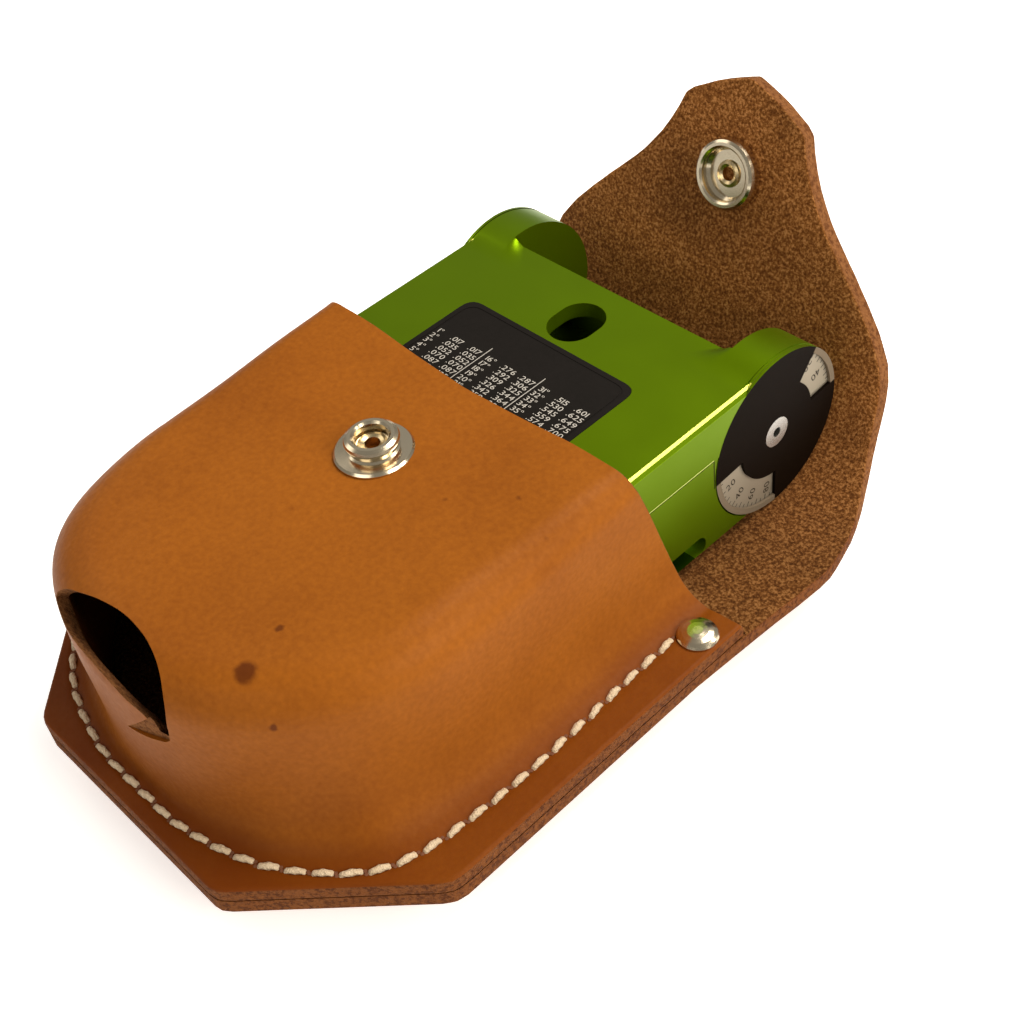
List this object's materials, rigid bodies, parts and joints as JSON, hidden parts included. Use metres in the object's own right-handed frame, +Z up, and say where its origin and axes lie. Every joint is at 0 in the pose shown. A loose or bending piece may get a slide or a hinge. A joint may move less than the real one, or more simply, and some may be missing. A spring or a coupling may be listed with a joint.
{
  "type": "pocket transit in a leather belt case",
  "caption": "Closed pocket transit with green anodised housing and side dials, drawn part way out of a moulded leather belt case with its snap flap standing open",
  "frame": {"origin": "middle of the flat underside of the belt loop, which the part lies on", "axes": "x is to the right across the case, y runs from the closed end to the flap, z is up out of the case back"},
  "size_m": [0.1104, 0.1663, 0.0706],
  "materials": {
    "leather": "wet moulded vegetable tanned leather, smooth grain side",
    "suede": "flesh side of the same leather, speckled",
    "nickel": "nickel plated",
    "brass": "bright brass",
    "green_aluminium": "olive green anodised aluminium",
    "steel": "turned stainless steel",
    "nylon": "natural nylon",
    "dark_dial": "black anodised aluminium",
    "silver_scale": "engraved satin aluminium",
    "rubber": "black rubber",
    "glass": "clear flat glass",
    "level_glass": "green spirit in glass",
    "mirror": "silvered glass",
    "label_black": "black anodised plate with pale printing",
    "blued_steel": "blued steel",
    "copper_wire": "fine copper wire"
  },
  "bodies": {
    "case": {"back_panel": "leather", "pouch_front": "leather", "mouth_rivets": "nickel", "snap_stud": "nickel", "stud_eyelet": "brass", "belt_loop": "leather", "loop_rivets": "nickel"},
    "flap_low": {"flap_bend_lower": "suede"},
    "flap_mid": {"flap_bend_upper": "suede"},
    "flap_high": {"flap_wall": "suede"},
    "tongue": {"flap_tongue": "suede", "snap_socket": "nickel", "snap_cap": "brass"},
    "transit": {"body_shell": "green_aluminium", "hinge_shaft": "steel", "hinge_washers": "nylon", "dial_cover_right": "dark_dial", "dial_cover_left": "dark_dial", "clinometer_dial": "silver_scale", "glass_gasket": "rubber", "glass": "glass", "glass_ring": "dark_dial", "round_level_holder": "brass", "round_level": "level_glass", "lift_lever": "steel", "lift_pin": "steel", "large_sight": "green_aluminium", "large_sight_pin": "steel"},
    "lid": {"lid_shell": "green_aluminium", "mirror_glass": "mirror", "mirror_ring": "dark_dial", "label_plate": "label_black", "dial_scale_right": "silver_scale", "dial_scale_left": "silver_scale", "small_sight": "green_aluminium", "small_sight_pin": "steel"},
    "compass_circle": {"azimuth_ring": "silver_scale"},
    "pinion": {"adjusting_pinion": "brass"},
    "needle_set": {"needle": "blued_steel", "needle_cap": "brass", "needle_weight": "copper_wire"},
    "clinometer": {"pivot_post": "steel", "clinometer_shaft": "steel", "vernier_arm": "steel", "vial_holder": "brass", "clinometer_vial": "level_glass", "clinometer_lever": "steel"}
  },
  "joints": [
    {"name": "transit_slide", "type": "slide", "parent": "case", "child": "transit", "axis": [0, 1, 0], "range_m": [-0.036, 0.0008]},
    {"name": "flap_bend_1", "type": "hinge", "parent": "case", "child": "flap_low", "pos_m": [0, 0.057, 0.0088], "axis": [1, 0, 0], "range_deg": [-24, 1.2]},
    {"name": "flap_bend_2", "type": "hinge", "parent": "flap_low", "child": "flap_mid", "pos_m": [0, 0.06741, 0.01101], "axis": [1, 0, 0], "range_deg": [-24, 1.2]},
    {"name": "flap_bend_3", "type": "hinge", "parent": "flap_mid", "child": "flap_high", "pos_m": [0, 0.07602, 0.01727], "axis": [1, 0, 0], "range_deg": [-24, 1.2]},
    {"name": "tongue_fold", "type": "hinge", "parent": "flap_high", "child": "tongue", "pos_m": [0, 0.08686, 0.04346], "axis": [1, 0, 0], "range_deg": [-15, 100]},
    {"name": "lid_hinge", "type": "hinge", "parent": "transit", "child": "lid", "pos_m": [0, 0.0572, 0.02795], "axis": [1, 0, 0], "range_deg": [-0.2, 0]},
    {"name": "circle_turn", "type": "hinge", "parent": "transit", "child": "compass_circle", "pos_m": [0, 0.0125, 0.0278], "axis": [0, 0, 1], "continuous": true},
    {"name": "pinion_turn", "type": "hinge", "parent": "transit", "child": "pinion", "pos_m": [-0.03, 0.0125, 0.02235], "axis": [1, 0, 0], "continuous": true},
    {"name": "needle_spin", "type": "hinge", "parent": "transit", "child": "needle_set", "pos_m": [0, 0.0125, 0.0292], "axis": [0, 0, 1], "continuous": true},
    {"name": "clinometer_turn", "type": "hinge", "parent": "transit", "child": "clinometer", "pos_m": [0, 0.0125, 0.017], "axis": [0, 0, 1], "range_deg": [-90, 90]}
  ],
  "couplings": [
    {"joint": "flap_bend_2", "follows": "flap_bend_1", "ratio": 1},
    {"joint": "flap_bend_3", "follows": "flap_bend_1", "ratio": 1},
    {"joint": "pinion_turn", "follows": "circle_turn", "ratio": 8}
  ]
}
